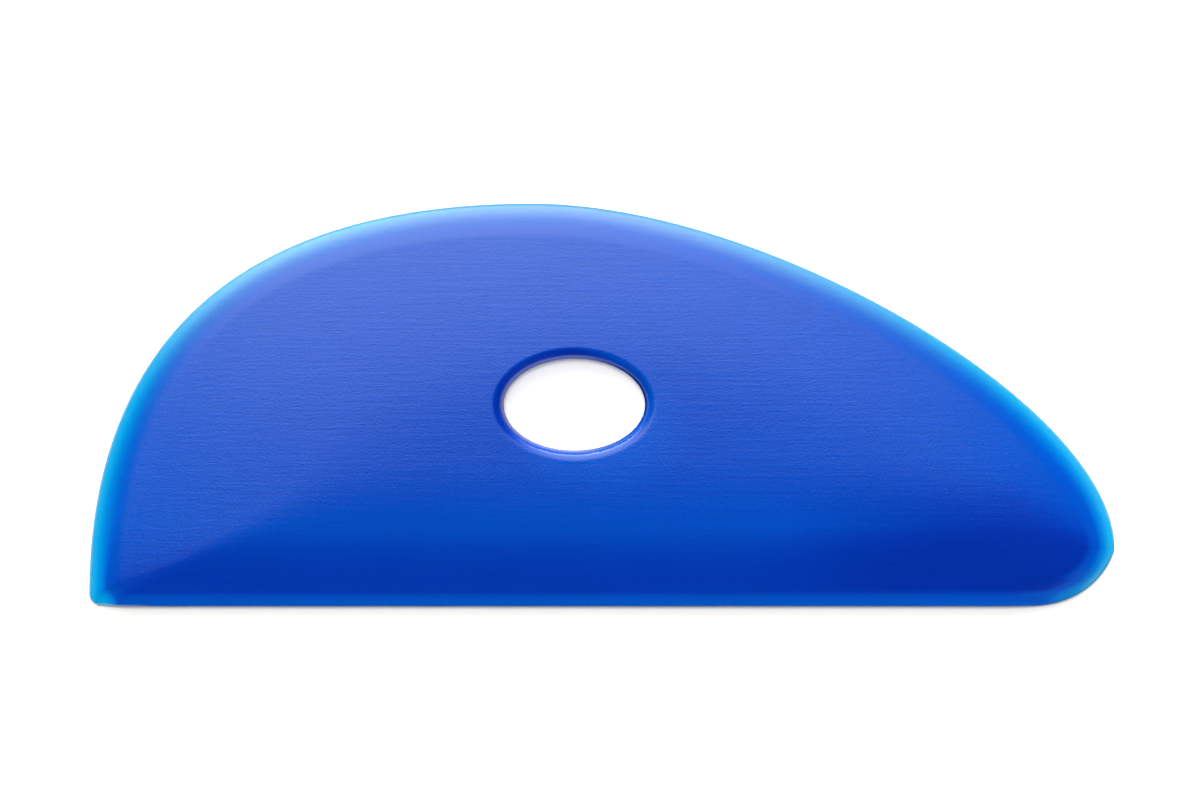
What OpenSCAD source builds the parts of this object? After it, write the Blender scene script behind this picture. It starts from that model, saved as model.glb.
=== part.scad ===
// Pottery rib: a flexible half-moon blade that shapes and smooths wet clay.
// It is one cast piece. The back is flat. The front is crowned: it falls in one
// broad face towards the curved edge and in a steeper roll towards the straight
// edge, and the two meet in a ridge that is crisp at the heel and fades towards
// the nose. The curved edge thins to a soft lip, and a finger hole goes through.
// The blade lies on its back, with the heel at -X and the straight edge at -Y.

/* [Blade] */
// Length from the heel to the tip of the nose
blade_l = 127; // [110:1:150]
// Height from the straight edge to the top of the curved edge
blade_h = 49.8; // [44:0.2:60]
// Thickness that the front rises to at its crown
crown_t = 4.8; // [4:0.1:6.5]

/* [Outline] */
// Distance from the heel to the highest point of the curved edge
apex_x = 54.8; // [48:0.2:64]
// Height of the nose tip above the straight edge
nose_h = 7.2; // [5.6:0.2:11]
// Length of the underside of the nose, from its tip to the straight edge
nose_l = 10.6; // [8:0.2:14]
// Radius of the heel corner
heel_r = 1.4; // [1:0.1:3]
// Fullness of the curved edge where it leaves the heel
heel_full = 0.5; // [0.35:0.01:0.65]
// Fullness of the curved edge between the heel and its highest point
shoulder_full = 0.79; // [0.6:0.01:0.9]
// Fullness of the curved edge between its highest point and the nose
back_full = 0.41; // [0.3:0.01:0.55]
// Fullness of the curved edge where it comes down to the nose tip
nose_full = 0.405; // [0.3:0.005:0.55]
// Fullness of the underside below the nose tip
tip_full = 0.17; // [0.1:0.01:0.4]
// Fullness of the underside where it joins the straight edge
under_full = 0.76; // [0.5:0.01:0.85]

/* [Front face] */
// Thickness that the face would have at the curved edge without its lip
face_t = 2.6; // [2:0.1:3.6]
// Distance from the curved edge to the crown, at the heel
face_reach_heel = 42; // [34:1:52]
// Distance from the curved edge to the crown, at the nose
face_reach_nose = 22; // [18:1:34]
// Thickness of the straight edge
base_t = 2.6; // [2:0.1:3.6]
// Distance from the straight edge to the crown
base_reach = 18; // [13:0.5:20]
// Depth of the blend that softens the ridge, at the heel
ridge_soft_heel = 0.08; // [0.04:0.02:0.4]
// Depth of the blend that softens the ridge, at the nose
ridge_soft_nose = 1; // [0.4:0.1:1.6]

/* [Edges] */
// Thickness of the lip along the curved edge
lip_t = 0.9; // [0.8:0.05:1.4]
// Width over which the face rolls down to the lip
lip_w = 4.2; // [3:0.1:5.5]
// Length over which the lip thickens behind the nose tip, along the underside
nose_fade_l = 17; // [12:0.5:26]
// Rounding of the lip on the front
lip_r = 0.35; // [0.2:0.05:0.5]
// Rounding of the straight edge on the front
base_r = 0.5; // [0.3:0.1:1.2]
// Rounding of the back edge, all the way round
back_r = 0.25; // [0.1:0.05:0.4]

/* [Finger hole] */
// Clear width of the finger hole
hole_w = 17.5; // [13:0.5:22]
// Clear height of the finger hole
hole_h = 11.4; // [9:0.2:15]
// Distance from the heel to the centre of the hole
hole_x = 60.1; // [50:0.5:72]
// Height of the centre of the hole above the straight edge
hole_y = 24.9; // [21:0.2:28]
// How much wider each side of the hole is at the front than at the back
hole_draft = 0.15; // [0:0.05:0.6]
// Rounding of the hole's rim on the front
rim_r = 1.2; // [0.6:0.1:1.6]

/* [Hidden] */
rib_blue = [0, 0.3, 0.74];

// Points along each stretch of the outline
n_base = 30;
n_under = 8;
n_arch = 34;
n_heel = 4;
// Crowding of the straight edge's points towards its two ends
end_crowding = 0.8;
// Steps in each rounding, rings across the lip's roll and rings across the face
n_round = 3;
n_lip = 6;
n_face = 9;
// Share of each spoke's direction that comes from even spacing round the hole
even_share = 0.5;
// Least cosine of the slant for which a spoke's lip rings are spread out
slant_floor = 0.7;
// How far the rings at the back reach below it, and the margin of the block that
// trims them off flush
sink = 1;
trim_margin = 5;

nose_tip = [blade_l, nose_h];
apex = [apex_x, blade_h];
base_start = [heel_r, 0];
base_end = [blade_l - nose_l, 0];
heel_top = [0, heel_r];
hole_c = [hole_x, hole_y];
hole_half = [hole_w, hole_h] / 2;

function mix(a, b, f) = a + (b - a) * f;
function clamp01(f) = max(0, min(1, f));

// The smaller of two heights, eased over a depth k where they are nearly equal
function soft_min(a, b, k) = min(a, b) - pow(max(0, k - abs(a - b)), 2) / (4 * k);

// Bezier stretch of n points, without its last one
function bezier(p, n) = [for (i = [0 : n - 1]) let (t = i / n, s = 1 - t)
    s * s * s * p[0] + 3 * s * s * t * p[1] + 3 * s * t * t * p[2] + t * t * t * p[3]];

// The outline, anticlockwise from the heel end of the straight edge
base_line = [for (i = [0 : n_base - 1]) let (t = i / n_base)
    mix(base_start, base_end, mix(t, (1 - cos(180 * t)) / 2, end_crowding))];
underside = bezier([
    base_end,
    base_end + [under_full * nose_l, 0],
    nose_tip - [0, tip_full * nose_h],
    nose_tip
], n_under);
back_curve = bezier([
    nose_tip,
    nose_tip + [0, nose_full * (blade_h - nose_h)],
    apex + [back_full * (blade_l - apex_x), 0],
    apex
], n_arch);
heel_curve = bezier([
    apex,
    apex - [shoulder_full * apex_x, 0],
    heel_top + [0, heel_full * (blade_h - heel_r)],
    heel_top
], n_arch);
heel_arc = [for (i = [0 : n_heel - 1]) let (a = 180 + 90 * i / n_heel)
    [heel_r, heel_r] + heel_r * [cos(a), sin(a)]];
outline = concat(base_line, underside, back_curve, heel_curve, heel_arc);
n_spokes = len(outline);

// The face falls towards the arch. The lip follows it and the nose's underside.
arch = concat(back_curve, heel_curve, heel_arc, [base_start]);
lip_line = concat(underside, arch);

function segment_gap(p, a, b) = let (run = b - a, f = clamp01((p - a) * run / (run * run)))
    norm(p - a - f * run);
function gap(p, path) = min([for (i = [1 : len(path) - 1]) segment_gap(p, path[i - 1], path[i])]);

// Height of the front before the lip: the lower of the broad face and the roll
function crown_z(p) = let (
    along = clamp01(p.x / blade_l),
    reach = mix(face_reach_heel, face_reach_nose, along),
    face = crown_t - (crown_t - face_t) * pow(1 - clamp01(gap(p, arch) / reach), 2),
    roll = crown_t - (crown_t - base_t) * pow(1 - clamp01(p.y / base_reach), 2)
) soft_min(face, roll, mix(ridge_soft_heel, ridge_soft_nose, along));

// Thickness of the edge: the lip's, but growing back along the nose's underside
function edge_t(p) = let (
    back = clamp01((blade_l - p.x) / nose_fade_l),
    below = clamp01(2 * (nose_h - p.y) / nose_h)
) mix(lip_t, base_t, p.x > blade_l / 2 ? back * below : 0);

// Height of the finished front
function front_z(p) = let (z = crown_z(p), in = 1 - clamp01(gap(p, lip_line) / lip_w))
    z - (z - edge_t(p)) * in * in;

// Inward normals of the outline, and its front rounding at each point
inward = [for (i = [0 : n_spokes - 1])
    let (run = outline[(i + 1) % n_spokes] - outline[(i + n_spokes - 1) % n_spokes])
    [-run.y, run.x] / norm(run)];
rounding = [for (p = outline)
    mix(lip_r, base_r, clamp01((front_z(p) - lip_t) / (base_t - lip_t)))];

// Each spoke runs from a point of the outline to a point of the hole
function bearing(p) = atan2((p.y - hole_y) / hole_h, (p.x - hole_x) / hole_w);
first_bearing = bearing(outline[0]);
spoke_a = [for (i = [0 : n_spokes - 1])
    let (b = bearing(outline[i]), unwound = b < first_bearing ? b + 360 : b)
    mix(unwound, first_bearing + 360 * i / n_spokes, even_share)];
function hole_at(i, out) = hole_c + [
    (hole_half.x + out) * cos(spoke_a[i]),
    (hole_half.y + out) * sin(spoke_a[i])
];

function raised(p, z) = [p.x, p.y, z];
function edge_at(i, in) = outline[i] + in * inward[i];

// Ring at one step of the back's rounding, round the outline and round the hole
function back_ring(a) = [for (i = [0 : n_spokes - 1])
    raised(edge_at(i, back_r * (1 - cos(a))), back_r * (1 - sin(a)))];
function hole_back_ring(a) = [for (i = [0 : n_spokes - 1])
    raised(hole_at(i, back_r * (1 - cos(a))), back_r * (1 - sin(a)))];

// Ring at one step of the front's rounding at the outline
function front_edge_ring(a) = [for (i = [0 : n_spokes - 1])
    let (r = rounding[i], p = edge_at(i, r * (1 - cos(a))))
    raised(p, front_z(p) - r * (1 - sin(a)))];

// Ring at one step of the rim's rounding, which drops from the face around it
rim_z = [for (i = [0 : n_spokes - 1]) front_z(hole_at(i, hole_draft + rim_r))];
function rim_ring(a) = [for (i = [0 : n_spokes - 1])
    raised(hole_at(i, hole_draft + rim_r * (1 - cos(a))), rim_z[i] - rim_r * (1 - sin(a)))];

// Where each spoke's run across the face starts and ends, and how far along it
// the lip's roll ends
spoke_start = [for (i = [0 : n_spokes - 1]) edge_at(i, rounding[i])];
spoke_end = [for (i = [0 : n_spokes - 1]) hole_at(i, hole_draft + rim_r)];
lip_end = [for (i = [0 : n_spokes - 1]) let (run = spoke_end[i] - spoke_start[i])
    min(0.5, lip_w / max(run * inward[i], slant_floor * norm(run)))];
function face_ring(f) = [for (i = [0 : n_spokes - 1])
    let (p = mix(spoke_start[i], spoke_end[i], f < 1 ? f * lip_end[i] : mix(lip_end[i], 1, f - 1)))
    raised(p, front_z(p))];

function sunk(ring) = [for (p = ring) p - [0, 0, sink]];

// The rings go out over the back edge, in over the front and down the hole
rings = concat(
    [sunk(back_ring(90))],
    [for (i = [0 : n_round]) back_ring(90 - 90 * i / n_round)],
    [for (i = [0 : n_round]) front_edge_ring(90 * i / n_round)],
    [for (i = [1 : n_lip]) face_ring(i / n_lip)],
    [for (i = [1 : n_face - 1]) face_ring(1 + i / n_face)],
    [for (i = [0 : n_round]) rim_ring(90 - 90 * i / n_round)],
    [for (i = [0 : n_round]) hole_back_ring(90 * i / n_round)],
    [sunk(hole_back_ring(90))]
);
n_rings = len(rings);

points = [for (ring = rings) each ring];
function id(r, i) = (r % n_rings) * n_spokes + i % n_spokes;

// Each cell between two rings and two spokes is cut along its shorter diagonal
function cell(a, b, c, d) = norm(points[a] - points[c]) < norm(points[b] - points[d])
    ? [[a, d, c], [a, c, b]]
    : [[a, d, b], [d, c, b]];

module rib_blade() {
    color(rib_blue)
        translate([-blade_l / 2, -blade_h / 2, 0])
            intersection() {
                translate([-trim_margin, -trim_margin, 0])
                    cube([blade_l, blade_h, crown_t] + 2 * trim_margin * [1, 1, 1]);
                polyhedron(
                    points = points,
                    faces = [for (r = [0 : n_rings - 1], i = [0 : n_spokes - 1])
                        each cell(id(r, i), id(r, i + 1), id(r + 1, i + 1), id(r + 1, i))],
                    convexity = 6
                );
            }
}

rib_blade();
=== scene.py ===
"""Pottery rib: a flexible half-moon blade of cast blue polyurethane, lying on its flat back.

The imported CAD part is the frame. The blade is built again here from the same named sizes with a
finer mesh, so that its crowned face, its ridge, its lip and the rim of its finger hole are smooth.
The colours, the shine and the studio light are fitted to the photograph, which looks straight down.
"""
import math

import bpy
import numpy as np
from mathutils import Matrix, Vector


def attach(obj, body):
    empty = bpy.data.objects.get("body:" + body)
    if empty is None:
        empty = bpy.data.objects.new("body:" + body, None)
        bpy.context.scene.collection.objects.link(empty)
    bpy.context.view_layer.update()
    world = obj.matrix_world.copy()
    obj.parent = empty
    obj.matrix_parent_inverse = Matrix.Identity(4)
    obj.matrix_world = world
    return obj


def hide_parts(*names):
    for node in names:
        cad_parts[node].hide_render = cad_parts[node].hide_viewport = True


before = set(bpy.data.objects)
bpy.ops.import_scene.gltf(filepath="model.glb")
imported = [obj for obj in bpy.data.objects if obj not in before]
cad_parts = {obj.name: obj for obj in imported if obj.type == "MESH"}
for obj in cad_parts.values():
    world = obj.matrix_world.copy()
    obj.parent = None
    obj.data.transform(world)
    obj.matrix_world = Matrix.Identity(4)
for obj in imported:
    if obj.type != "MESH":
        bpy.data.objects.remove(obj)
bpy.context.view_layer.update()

MM = 0.001

# Outline, in millimetres from the heel end of the straight edge
BLADE_L, BLADE_H, CROWN_T = 127.0, 49.8, 4.8
APEX_X, NOSE_H, NOSE_L, HEEL_R = 54.8, 7.2, 10.6, 1.4
HEEL_FULL, SHOULDER_FULL, BACK_FULL = 0.5, 0.79, 0.41
NOSE_FULL, TIP_FULL, UNDER_FULL = 0.405, 0.17, 0.76

# Front face, edges and finger hole
FACE_T, FACE_REACH_HEEL, FACE_REACH_NOSE = 2.6, 42.0, 22.0
BASE_T, BASE_REACH = 2.6, 18.0
RIDGE_SOFT_HEEL, RIDGE_SOFT_NOSE = 0.08, 1.0
LIP_T, LIP_W, NOSE_FADE_L = 0.9, 4.2, 17.0
LIP_R, BASE_R, BACK_R = 0.35, 0.5, 0.25
HOLE_HALF = np.array([8.75, 5.7])
HOLE_C = np.array([60.1, 24.9])
HOLE_DRAFT, RIM_R = 0.15, 1.2
# Top of the CAD part, which the finer crown may not pass
TOP_Z = 4.687

# Points along each stretch of the outline, and how far the straight edge's crowd its ends
N_BASE, N_UNDER, N_ARCH, N_HEEL = 150, 44, 170, 20
END_CROWDING = 0.8
# Share of each spoke's bearing that comes from even spacing round the hole
EVEN_SHARE = 0.5
# Least cosine of a spoke's slant, and largest share of a spoke that the lip's rings take
SLANT_FLOOR, LIP_SHARE = 0.7, 0.5
# Rings across each rounding, the flat back, the lip's roll and the face
N_ROUND, N_BACK, N_LIP, N_FACE = 11, 9, 20, 40
# How far inside the back's rounding its flat part starts
BACK_INSET = 0.3
# Steps across the lip's roll and the face, with more of them beside the two roundings
LIP_STEPS = (0.2, 0.5, *range(1, N_LIP + 1))
FACE_STEPS = (*range(1, N_FACE), N_FACE - 0.5, N_FACE - 0.2)
WALL_STEPS = (0.25, 0.5, 0.75)


# ---- Shape -------------------------------------------------------------------------------------

def mix(a, b, f):
    return a + (b - a) * f


def fade(value, start, end):
    """Share from 0 at start to 1 at end, straight in between and held beyond them."""
    return np.clip((value - start) / (end - start), 0, 1)


def bezier(p0, p1, p2, p3, n):
    """n points along a cubic stretch, without its last one."""
    t = (np.arange(n) / n)[:, None]
    s = 1 - t
    return s**3 * p0 + 3 * s * s * t * p1 + 3 * s * t * t * p2 + t**3 * p3


def outline_stretches():
    """The outline's stretches, anticlockwise from the heel end of the straight edge."""
    tip, apex = np.array([BLADE_L, NOSE_H]), np.array([APEX_X, BLADE_H])
    start, end = np.array([HEEL_R, 0.0]), np.array([BLADE_L - NOSE_L, 0.0])
    heel_top = np.array([0.0, HEEL_R])
    t = np.arange(N_BASE) / N_BASE
    base = mix(start, end, mix(t, (1 - np.cos(np.pi * t)) / 2, END_CROWDING)[:, None])
    under = bezier(end, end + [UNDER_FULL * NOSE_L, 0],
                   tip - [0, TIP_FULL * NOSE_H], tip, N_UNDER)
    back = bezier(tip, tip + [0, NOSE_FULL * (BLADE_H - NOSE_H)],
                  apex + [BACK_FULL * (BLADE_L - APEX_X), 0], apex, N_ARCH)
    heel = bezier(apex, apex - [SHOULDER_FULL * APEX_X, 0],
                  heel_top + [0, HEEL_FULL * (BLADE_H - HEEL_R)], heel_top, N_ARCH)
    a = np.pi + np.pi / 2 * np.arange(N_HEEL) / N_HEEL
    corner = np.array([HEEL_R, HEEL_R]) + HEEL_R * np.stack([np.cos(a), np.sin(a)], 1)
    return base, under, back, heel, corner


BASE, UNDER, BACK, HEEL, CORNER = outline_stretches()
OUTLINE = np.concatenate([BASE, UNDER, BACK, HEEL, CORNER])
CLOSED = np.concatenate([OUTLINE, OUTLINE[:1]])
ARCH = np.concatenate([BACK, HEEL, CORNER, BASE[:1]])
LIP_LINE = np.concatenate([UNDER, ARCH])


def gap(p, path):
    """Distance from each point of p to the open line path."""
    a, run = path[:-1], path[1:] - path[:-1]
    away = p[:, None] - a[None]
    f = np.clip((away * run).sum(-1) / (run * run).sum(-1), 0, 1)
    return np.linalg.norm(away - f[..., None] * run, axis=-1).min(1)


def soft_min(a, b, k):
    """The smaller of two heights, eased over a depth k where they are nearly equal."""
    return np.minimum(a, b) - np.maximum(0, k - abs(a - b)) ** 2 / (4 * k)


def front_z(p):
    """Height of the front: the crowned face and the roll, meeting in the ridge, less the lip."""
    x, y = p[:, 0], p[:, 1]
    along = fade(x, 0, BLADE_L)
    reach = mix(FACE_REACH_HEEL, FACE_REACH_NOSE, along)
    face = CROWN_T - (CROWN_T - FACE_T) * (1 - fade(gap(p, ARCH), 0, reach)) ** 2
    roll = CROWN_T - (CROWN_T - BASE_T) * (1 - fade(y, 0, BASE_REACH)) ** 2
    z = soft_min(face, roll, mix(RIDGE_SOFT_HEEL, RIDGE_SOFT_NOSE, along))
    back = fade(x, BLADE_L, BLADE_L - NOSE_FADE_L)
    below = fade(y, NOSE_H, NOSE_H / 2)
    edge = mix(LIP_T, BASE_T, np.where(x > BLADE_L / 2, back * below, 0))
    inner = 1 - fade(gap(p, LIP_LINE), 0, LIP_W)
    return z - (z - edge) * inner**2


def spokes():
    """Inward normal, front rounding and bearing on the hole of each point of the outline."""
    run = np.roll(OUTLINE, -1, 0) - np.roll(OUTLINE, 1, 0)
    inward = np.stack([-run[:, 1], run[:, 0]], 1) / np.linalg.norm(run, axis=1)[:, None]
    rounding = mix(LIP_R, BASE_R, fade(front_z(OUTLINE), LIP_T, BASE_T))
    off = (OUTLINE - HOLE_C) / HOLE_HALF
    bearing = np.unwrap(np.arctan2(off[:, 1], off[:, 0]))
    even = bearing[0] + 2 * np.pi * np.arange(len(OUTLINE)) / len(OUTLINE)
    return inward, rounding, mix(bearing, even, EVEN_SHARE)


def ring(p, z):
    """The points p raised to the height z."""
    return np.column_stack([p, np.broadcast_to(z, len(p))])


def face_rings(start, end, inward):
    """Rings across the front, from the edge's rounding in to the hole's rim."""
    span = end - start
    slant = np.maximum((span * inward).sum(1), SLANT_FLOOR * np.linalg.norm(span, axis=1))
    lip_end = np.minimum(LIP_SHARE, LIP_W / slant)
    steps = [lip_end * i / N_LIP for i in LIP_STEPS]
    steps += [mix(lip_end, 1, i / N_FACE) for i in FACE_STEPS]
    places = [mix(start, end, f[:, None]) for f in steps]
    return [ring(p, front_z(p)) for p in places]


def blade_rings():
    """Rings of points from the back out over the edge, in over the front and down the hole."""
    inward, rounding, bearing = spokes()
    circle = np.stack([np.cos(bearing), np.sin(bearing)], 1)

    def edge_at(inset):
        return OUTLINE + inward * np.broadcast_to(inset, len(OUTLINE))[:, None]

    def hole_at(out):
        return HOLE_C + (HOLE_HALF + out) * circle

    # Inset and drop at each step of a rounding of radius 1, from its side to its top
    quarter = [(1 - np.cos(a), 1 - np.sin(a)) for a in np.linspace(0, np.pi / 2, N_ROUND)]
    flat_out, flat_in = edge_at(BACK_R + BACK_INSET), hole_at(BACK_R + BACK_INSET)
    rings = [ring(mix(flat_in, flat_out, f), 0) for f in np.linspace(0, 1, N_BACK)]
    rings += [ring(edge_at(BACK_R * inset), BACK_R * drop) for inset, drop in quarter[::-1]]
    for inset, drop in quarter:
        p = edge_at(rounding * inset)
        rings.append(ring(p, front_z(p) - rounding * drop))
    rim = hole_at(HOLE_DRAFT + RIM_R)
    rings += face_rings(edge_at(rounding), rim, inward)
    rim_z = front_z(rim)
    rings += [ring(hole_at(HOLE_DRAFT + RIM_R * inset), rim_z - RIM_R * drop)
              for inset, drop in quarter[::-1]]
    wall_top, wall_foot = rings[-1], ring(hole_at(0), BACK_R)
    rings += [mix(wall_top, wall_foot, f) for f in WALL_STEPS]
    rings += [ring(hole_at(BACK_R * inset), BACK_R * drop) for inset, drop in quarter]
    return np.array(rings)


# ---- Light in the blue, and shine --------------------------------------------------------------

# Each pair is where a change is nil and where it is full, in millimetres of x, of y, of thickness
# or of distance in from the edge or out from the hole. A way is scaled and multiplied with the
# direction to the hole's centre.

# Away from the light: below the ridge, and more so by the nose, but not in the lip
TURNED_Y = (10, 0)
NOSE_X, NOSE_Y, NOSE_POWER, NOSE_SHARE = (80, 114), (19.2, 7.2), 1.5, 0.6
PAST_LIP = (1.9, 3.9)
BEHIND_X, BEHIND_Y = (120, 111), (6, 3)
INSIDE_X, INSIDE_EDGE = (126, 118), (1.1, 2.2)
# Painted light in the thin lip: clearer where thin, most at the two ends, where light comes in
# through it, and least along the straight edge, and a little darker along the middle
THIN_T, THIN_LOW_Y = (3.2, 1.4), (2.4, 0.4)
THIN_REACH, THIN_HEEL, THIN_ENDS, THIN_MIDDLE = 55, 1.15, 0.85, 0.3
# Painted shade: a dark ring above and left of the hole, on the side of its rim that faces away from
# the light
RING_WAY, RING_OUT, RING_IN, RING_PATH = (0.98, -0.98), (1.45, 0.95), (0, 0.3), 1.8
# Light that comes in at the outer edge and at the hole; at the hole it is painted light, more on
# the lower and right side, whose walls face the light, and less on the upper and left side
EDGE_PATH, EDGE_RISE, EDGE_CURVE = 2.4, 1.2, 0.3
HOLE_PATH, HOLE_WAY, HOLE_RISE = 4.1, (-0.8, 1.392), 0.35

# Painted shade on the shine: reflections dimmed at the lower outer edge, on the hole's wall and,
# where the direction to the hole runs up along Y, just below the hole
DULL_Y, DULL_X, DULL_EDGE, DULL_LEAST = (10, 7), (4, 8), (0.1, 0.6), 0.1
WALL_SHINE, WALL_SHARE, WALL_SWING, WALL_OUT = 0.4, 1.2, 1.3, (0.2, 0.45)
UNDER_HOLE_W, UNDER_HOLE_UP, UNDER_HOLE_LOSS = 0.4, (0.4, 0.9), 0.65


def from_hole(p):
    """From each point: millimetres to the hole along its line to the centre, that direction, and
    the size of the point's own oval round the same centre, with the hole's as 1."""
    reach = np.linalg.norm(HOLE_C - p, axis=1)
    ovals = np.linalg.norm((p - HOLE_C) / HOLE_HALF, axis=1)
    return reach * (1 - 1 / ovals), (HOLE_C - p) / reach[:, None], ovals


def turned_away(p, edge):
    """How much darker each point looks because it faces away from the light."""
    x, y = p[:, 0], p[:, 1]
    by_nose = fade(x, *NOSE_X) ** NOSE_POWER * fade(y, *NOSE_Y)
    inside = fade(x, *INSIDE_X) * fade(edge, *INSIDE_EDGE)
    behind_nose = np.maximum(fade(x, *BEHIND_X), inside) * fade(y, *BEHIND_Y)
    behind_nose *= x > BLADE_L / 2
    clear_of_lip = np.maximum(fade(gap(p, LIP_LINE), *PAST_LIP), behind_nose)
    return (fade(y, *TURNED_Y) + NOSE_SHARE * by_nose) * clear_of_lip


def painted_lip_light_and_shade(p, thickness):
    """Millimetres taken off the path where the blade is thin, as painted light at the two ends and,
    by a little added, as painted shade along the middle.
    """
    x, y = p[:, 0], p[:, 1]
    by_end = fade(abs(x - BLADE_L / 2), 0, THIN_REACH) * np.where(x < BLADE_L / 2, THIN_HEEL, 1)
    low = np.where(x > BLADE_L / 2, fade(y, *THIN_LOW_Y), 0)
    return fade(thickness, *THIN_T) * (THIN_ENDS * by_end * (1 - low) - THIN_MIDDLE)


def depth_with_painted_light_and_shade(points):
    """Millimetres of blue that light seems to cross to each point, from the table or an edge, with
    painted shade where points face away from the light and painted light where it comes through the
    lip and the hole's lower wall.
    """
    p = points[:, :2]
    edge = gap(p, CLOSED)
    off_hole, inwards, ovals = from_hole(p)
    painted_ring_shade = fade(off_hole, *RING_OUT) * fade(off_hole, *RING_IN)
    painted_ring_shade *= RING_PATH * np.clip(inwards @ RING_WAY, 0, 1)

    thickness = front_z(p)
    across = thickness * (1 + turned_away(p, edge)) - painted_lip_light_and_shade(p, thickness) + painted_ring_shade
    in_at_edge = EDGE_PATH + EDGE_RISE * edge + EDGE_CURVE * edge**2
    rise = HOLE_RISE * np.maximum(ovals - 1, 0) * HOLE_HALF[1]
    # Painted light on the hole's lower and right side, painted shade on its upper and left side
    in_at_hole = HOLE_PATH - inwards @ HOLE_WAY + rise + painted_ring_shade
    return np.minimum(across, np.minimum(in_at_edge, in_at_hole))


def shine_with_painted_shade(points):
    """Share of the skin's gloss at each point, dimmed in places as painted shade on its
    reflections.
    """
    p = points[:, :2]
    lower = fade(p[:, 1], *DULL_Y) * fade(p[:, 0], *DULL_X)
    at_edge = mix(1, np.maximum(fade(gap(p, CLOSED), *DULL_EDGE), DULL_LEAST), lower)
    off_hole, inwards, _ = from_hole(p)
    wall = WALL_SHINE * np.clip(WALL_SHARE + WALL_SWING * inwards[:, 0], 0, 1)
    at_hole = mix(wall, 1, fade(off_hole, *WALL_OUT))
    under_hole = fade(abs(off_hole - HOLE_DRAFT - RIM_R), UNDER_HOLE_W, 0)
    under_hole *= fade(inwards[:, 1], *UNDER_HOLE_UP)
    return np.minimum(at_edge, at_hole) - UNDER_HOLE_LOSS * under_hole


def build_blade():
    """The blade as one closed mesh, with its light path, which carries painted light and shade, and
    its gloss, which carries painted shade, at each point.
    """
    rings = blade_rings()
    n_rings, n_spokes = rings.shape[:2]
    points = rings.reshape(-1, 3)
    points[:, 2] = np.minimum(points[:, 2], TOP_Z)
    r, i = np.meshgrid(np.arange(n_rings), np.arange(n_spokes), indexing="ij")
    here, there = r * n_spokes, (r + 1) % n_rings * n_spokes
    i2 = (i + 1) % n_spokes
    quads = np.stack([here + i, here + i2, there + i2, there + i], -1)
    centred = (points - [BLADE_L / 2, BLADE_H / 2, 0]) * MM
    mesh = bpy.data.meshes.new("rib_blade_cast")
    mesh.from_pydata(centred.tolist(), [], quads.reshape(-1, 4).tolist())
    mesh.validate()
    mesh.shade_smooth()
    for name, values in (("depth_with_painted_light_and_shade", depth_with_painted_light_and_shade(points)), ("shine_with_painted_shade", shine_with_painted_shade(points))):
        layer = mesh.attributes.new(name, "FLOAT", "POINT")
        layer.data.foreach_set("value", values.astype(np.float32))
    blade = bpy.data.objects.new("rib_blade_cast", mesh)
    bpy.context.scene.collection.objects.link(blade)
    return blade


# ---- Materials ---------------------------------------------------------------------------------

# Millimetres of blue at the two ends of the shades, and the shade at each place between them
SHADES_OVER = (0.5, 6.5)
SHADES = (
    (0.067, (0.0, 0.48, 0.96)),
    (0.133, (0.0, 0.37, 0.915)),
    (0.200, (0.0, 0.27, 0.83)),
    (0.267, (0.0, 0.19, 0.74)),
    (0.333, (0.0, 0.125, 0.66)),
    (0.417, (0.0, 0.084, 0.575)),
    (0.667, (0.0, 0.075, 0.535)),
    (0.833, (0.0, 0.036, 0.440)),
    (1.000, (0.0, 0.028, 0.370)),
)
# Strength of the long streaks beside the grain, and how far each noise moves the shade
STREAK_SHARE = 0.6
CLOUD_TONES, FLECK_TONES = (0.95, 1.05), (0.78, 1.22)
# Path below which the blue glows as if it faced up, and how far it does
GLOW_OVER, GLOW_SHARE = (4.5, 1.6), (0, 0.9)

TABLE_SHADE = (0.28, 0.28, 0.28, 1)
TABLE_SEEN = (0.92, 0.9, 0.84, 1)


def add(tree, kind, **values):
    """A node of this kind with its properties and its inputs' values set."""
    node = tree.nodes.new(kind)
    for name, value in values.items():
        if name in node.inputs:
            node.inputs[name].default_value = value
        else:
            setattr(node, name, value)
    return node


def maths(tree, operation, *values):
    """Output of a Math node, each of whose inputs is a number or another node's output."""
    node = add(tree, "ShaderNodeMath", operation=operation)
    for socket, value in zip(node.inputs, values):
        if isinstance(value, (int, float)):
            socket.default_value = value
        else:
            tree.links.new(value, socket)
    return node.outputs["Value"]


def moved(tree, value, source, target=(0, 1), **kind):
    """Output that moves a value from one range to another and holds it at the ends."""
    node = add(tree, "ShaderNodeMapRange", **kind)
    node.inputs["From Min"].default_value, node.inputs["From Max"].default_value = source
    node.inputs["To Min"].default_value, node.inputs["To Max"].default_value = target
    tree.links.new(value, node.inputs["Value"])
    return node.outputs["Result"]


def noise(tree, coords, stretch, scale, detail, roughness):
    """Noise in the row frame, stretched along X, Y and Z, with scale in waves per metre."""
    mapping = add(tree, "ShaderNodeMapping", Scale=stretch)
    tree.links.new(coords.outputs["Object"], mapping.inputs["Vector"])
    node = add(tree, "ShaderNodeTexNoise", Scale=scale, Detail=detail, Roughness=roughness)
    tree.links.new(mapping.outputs["Vector"], node.inputs["Vector"])
    return node.outputs["Fac"]


def cast_relief(tree, coords):
    """Fine grain of the cast skin, with faint long streaks along X."""
    grain = noise(tree, coords, stretch=(0.9, 1, 1), scale=4800, detail=2, roughness=0.6)
    streak = noise(tree, coords, stretch=(0.04, 1, 1), scale=2800, detail=2, roughness=0.5)
    return maths(tree, "MULTIPLY_ADD", streak, STREAK_SHARE, grain)


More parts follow.
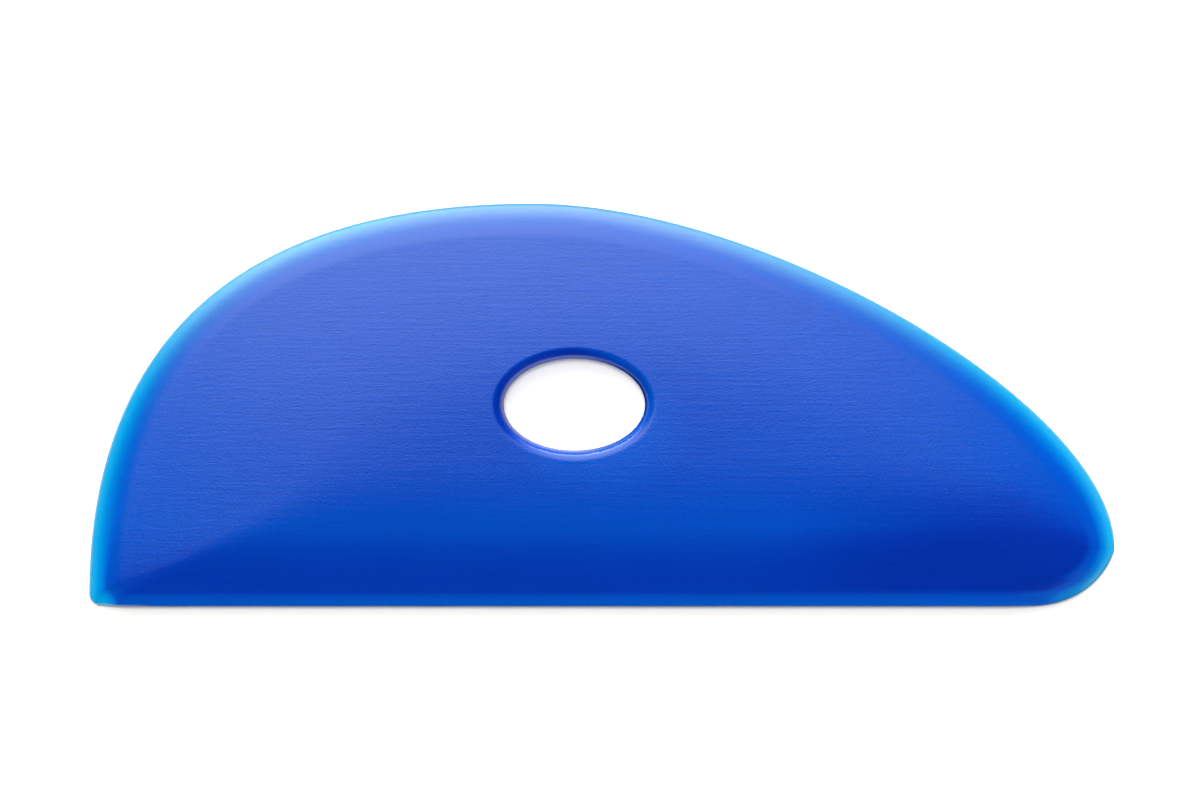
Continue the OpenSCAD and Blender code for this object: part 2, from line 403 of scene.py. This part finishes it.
def blue_by_depth(tree, depth):
    """Blue from pale and clear to deep, by the millimetres that light crosses, with the painted
    light and shade that they carry.
    """
    ramp = add(tree, "ShaderNodeValToRGB")
    ramp.color_ramp.interpolation = "B_SPLINE"
    stops = ramp.color_ramp.elements
    stops[0].position, stops[1].position = SHADES[0][0], SHADES[-1][0]
    for place, _ in SHADES[1:-1]:
        stops.new(place)
    for stop, (_, colour) in zip(stops, SHADES):
        stop.color = (*colour, 1)
    tree.links.new(moved(tree, depth, SHADES_OVER), ramp.inputs["Fac"])
    return ramp.outputs["Color"]


def toned(tree, colour, coords, relief):
    """The colour, a little lighter and darker in soft clouds and in fine flecks."""
    cloud = noise(tree, coords, stretch=(1, 1, 1), scale=60, detail=3, roughness=0.6)
    clouds = moved(tree, cloud, (0, 1), CLOUD_TONES)
    flecks = moved(tree, relief, (0, 1 + STREAK_SHARE), FLECK_TONES)
    scaled = add(tree, "ShaderNodeVectorMath", operation="SCALE")
    tree.links.new(colour, scaled.inputs[0])
    tree.links.new(maths(tree, "MULTIPLY", clouds, flecks), scaled.inputs["Scale"])
    return scaled.outputs["Vector"]


def glow_normal(tree, depth, rough_normal):
    """Normal for the colour: the rough skin's where thick, turned up to the front where thin."""
    front = add(tree, "ShaderNodeVectorTransform", vector_type="NORMAL", Vector=(0, 0, 1))
    front.convert_from, front.convert_to = "OBJECT", "WORLD"
    share = moved(tree, depth, GLOW_OVER, GLOW_SHARE, interpolation_type="SMOOTHSTEP")
    spread = add(tree, "ShaderNodeMix", data_type="VECTOR")
    tree.links.new(share, spread.inputs["Factor"])
    # Inputs 4 and 5 and output 1 are the ones of the Mix node's vector kind
    tree.links.new(rough_normal, spread.inputs[4])
    tree.links.new(front.outputs["Vector"], spread.inputs[5])
    unit = add(tree, "ShaderNodeVectorMath", operation="NORMALIZE")
    tree.links.new(spread.outputs[1], unit.inputs[0])
    return unit.outputs["Vector"]


def polyurethane():
    """Blue cast polyurethane: deep where thick, pale and clear where thin, with a satin skin; its
    colour and gloss also carry painted light and shade from the mesh's attributes.
    """
    material = bpy.data.materials.new("polyurethane_blue")
    material.use_nodes = True
    tree = material.node_tree
    shader = tree.nodes["Principled BSDF"]
    coords = add(tree, "ShaderNodeTexCoord")
    # Path of light through the blue, with painted shade and painted light worked into it
    depth = add(tree, "ShaderNodeAttribute", attribute_name="depth_with_painted_light_and_shade").outputs["Fac"]
    # Share of the gloss, dimmed in places as painted shade on the reflections
    skin = add(tree, "ShaderNodeAttribute", attribute_name="shine_with_painted_shade").outputs["Fac"]
    relief = cast_relief(tree, coords)
    bump = add(tree, "ShaderNodeBump", Strength=0.6, Distance=0.000035)
    tree.links.new(relief, bump.inputs["Height"])
    rough_normal = bump.outputs["Normal"]

    blue = toned(tree, blue_by_depth(tree, depth), coords, relief)
    tree.links.new(blue, shader.inputs["Base Color"])
    tree.links.new(glow_normal(tree, depth, rough_normal), shader.inputs["Normal"])
    tree.links.new(skin, shader.inputs["Coat Weight"])
    tree.links.new(rough_normal, shader.inputs["Coat Normal"])
    shader.inputs["Specular IOR Level"].default_value = 0.0
    shader.inputs["Roughness"].default_value = 0.5
    shader.inputs["Coat Roughness"].default_value = 0.14
    shader.inputs["Coat IOR"].default_value = 1.5
    return material


def table_white():
    """White table that keeps the rib's shadow, and that the camera and reflections see as white."""
    material = bpy.data.materials.new("table_white")
    material.use_nodes = True
    tree = material.node_tree
    tree.nodes.remove(tree.nodes["Principled BSDF"])
    matt = add(tree, "ShaderNodeBsdfDiffuse", Color=TABLE_SHADE)
    seen = add(tree, "ShaderNodeBsdfDiffuse", Color=TABLE_SEEN)
    rays = add(tree, "ShaderNodeLightPath").outputs
    bent = maths(tree, "MAXIMUM", rays["Is Glossy Ray"], rays["Is Transmission Ray"])
    shown = maths(tree, "MAXIMUM", rays["Is Camera Ray"], bent)
    either = add(tree, "ShaderNodeMixShader")
    tree.links.new(shown, either.inputs["Fac"])
    tree.links.new(matt.outputs["BSDF"], either.inputs[1])
    tree.links.new(seen.outputs["BSDF"], either.inputs[2])
    tree.links.new(either.outputs["Shader"], tree.nodes["Material Output"].inputs["Surface"])
    return material


# ---- Stage -------------------------------------------------------------------------------------

TABLE_HALF = 3.0

# Studio light, in radians of rise from the table and of bearing from the light's own. Each pair
# is where an edge of the light is dark and where it is full.
LIGHT_BEARING = math.radians(100.6)
LIGHT_BEND, LIGHT_NARROWING = 0.1, 0.39
SIDE_EDGE, TOP_EDGE = (0.95, 0.25), (1.66, 1.12)
# Radiance of the light, more in its middle and low down, and less to one side
RADIANCE, SIDE_FALL = 2.8, 0.15
MIDDLE_EXTRA, MIDDLE_OVER = 0.8, (0.9, 0)
LOW_EXTRA, LOW_OVER = 5.5, (0.53, 0)
# Faint skirt along the horizon, and the radiance of the dark studio
SKIRT, SKIRT_RISE, SKIRT_SIDE, DARK = 3.0, (0.09, 0), (1.75, 1.2), 0.02

# Camera, where 1200 pixels span 148.7 mm at half the lip's height
CAMERA_AT, LENS_MM, SENSOR_MM = (-0.00022, 0.00055, 0.4135), 100, 36


def add_floor():
    mesh = bpy.data.meshes.new("table")
    signs = ((-1, -1), (1, -1), (1, 1), (-1, 1))
    mesh.from_pydata([(TABLE_HALF * x, TABLE_HALF * y, 0) for x, y in signs], [], [(0, 1, 2, 3)])
    floor = bpy.data.objects.new("table", mesh)
    mesh.materials.append(table_white())
    bpy.context.scene.collection.objects.link(floor)
    return floor


def studio_radiance(tree):
    """Radiance of the studio in each direction: one broad soft light on the curved edge's side."""
    def soft(value, edge):
        return moved(tree, value, edge, interpolation_type="SMOOTHSTEP")

    turned = add(tree, "ShaderNodeVectorRotate", rotation_type="Z_AXIS", Angle=-LIGHT_BEARING)
    tree.links.new(add(tree, "ShaderNodeTexCoord").outputs["Generated"], turned.inputs["Vector"])
    where = add(tree, "ShaderNodeSeparateXYZ")
    tree.links.new(turned.outputs["Vector"], where.inputs["Vector"])

    rise = maths(tree, "ARCSINE", where.outputs["Z"])
    off = maths(tree, "ARCTAN2", where.outputs["Y"], where.outputs["X"])
    off = maths(tree, "MULTIPLY_ADD", maths(tree, "MULTIPLY", rise, rise), -LIGHT_BEND, off)
    aside = maths(tree, "ABSOLUTE", off)
    narrowed = maths(tree, "POWER", maths(tree, "COSINE", rise), LIGHT_NARROWING)
    across = maths(tree, "MULTIPLY", aside, narrowed)
    lit = maths(tree, "MULTIPLY", soft(across, SIDE_EDGE), soft(rise, TOP_EDGE))
    lit = maths(tree, "MULTIPLY", lit, maths(tree, "MULTIPLY_ADD", off, -SIDE_FALL, 1.0))
    level = maths(tree, "MULTIPLY_ADD", soft(aside, MIDDLE_OVER), MIDDLE_EXTRA, RADIANCE)
    level = maths(tree, "MULTIPLY_ADD", soft(rise, LOW_OVER), LOW_EXTRA, level)
    skirt = maths(tree, "MULTIPLY", soft(rise, SKIRT_RISE), soft(aside, SKIRT_SIDE))
    return maths(tree, "MULTIPLY_ADD", level, lit, maths(tree, "MULTIPLY_ADD", skirt, SKIRT, DARK))


def add_world():
    """The studio's light on the rib, which the camera sees as a white background."""
    world = bpy.data.worlds.new("studio")
    bpy.context.scene.world = world
    world.use_nodes = True
    tree = world.node_tree
    background = tree.nodes["Background"]
    background.inputs["Color"].default_value = (1, 1, 1, 1)
    seen = add(tree, "ShaderNodeMix", data_type="FLOAT")
    rays = add(tree, "ShaderNodeLightPath").outputs
    tree.links.new(rays["Is Camera Ray"], seen.inputs["Factor"])
    tree.links.new(studio_radiance(tree), seen.inputs["A"])
    seen.inputs["B"].default_value = 1.0
    tree.links.new(seen.outputs["Result"], background.inputs["Strength"])


def add_softbox(name, place, size, radiance, only):
    """Soft light that faces the origin, of this radiance, for one object alone."""
    light = bpy.data.lights.new(name, "AREA")
    light.shape = "RECTANGLE"
    light.size, light.size_y = size
    light.energy = radiance * math.pi * size[0] * size[1]
    lamp = bpy.data.objects.new(name, light)
    lamp.location = place
    lamp.rotation_mode = "QUATERNION"
    lamp.rotation_quaternion = Vector(place).to_track_quat("Z", "Y")
    lamp.visible_camera = False
    lamp.light_linking.receiver_collection = bpy.data.collections.new(name + "_lit")
    lamp.light_linking.receiver_collection.objects.link(only)
    bpy.context.scene.collection.objects.link(lamp)
    return lamp


def add_lights(blade, table):
    """One lamp for the shadow on the table, and two fills for the blade that don't show in it."""
    add_softbox("table_light", place=(-0.03, 0.11, 1.0), size=(0.26, 0.26), radiance=41, only=table)
    fills = (
        add_softbox("overhead_fill", place=(0, 0, 1.2), size=(3, 3), radiance=0.12, only=blade),
        add_softbox("front_fill", place=(0.587, -1.017, 0.165), size=(1, 1), radiance=6.0,
                    only=blade),
    )
    for fill in fills:
        fill.visible_glossy = False


def add_camera():
    """Camera straight above the rib, as in the photograph."""
    data = bpy.data.cameras.new("camera")
    data.sensor_width = SENSOR_MM
    data.lens = LENS_MM
    camera = bpy.data.objects.new("camera", data)
    camera.location = CAMERA_AT
    bpy.context.scene.collection.objects.link(camera)
    bpy.context.scene.camera = camera


blade = build_blade()
blade.data.materials.append(polyurethane())
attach(blade, "root")
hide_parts("rib_blade")

table = add_floor()
add_world()
add_lights(blade, table)
add_camera()
bpy.context.scene.view_settings.view_transform = "Standard"
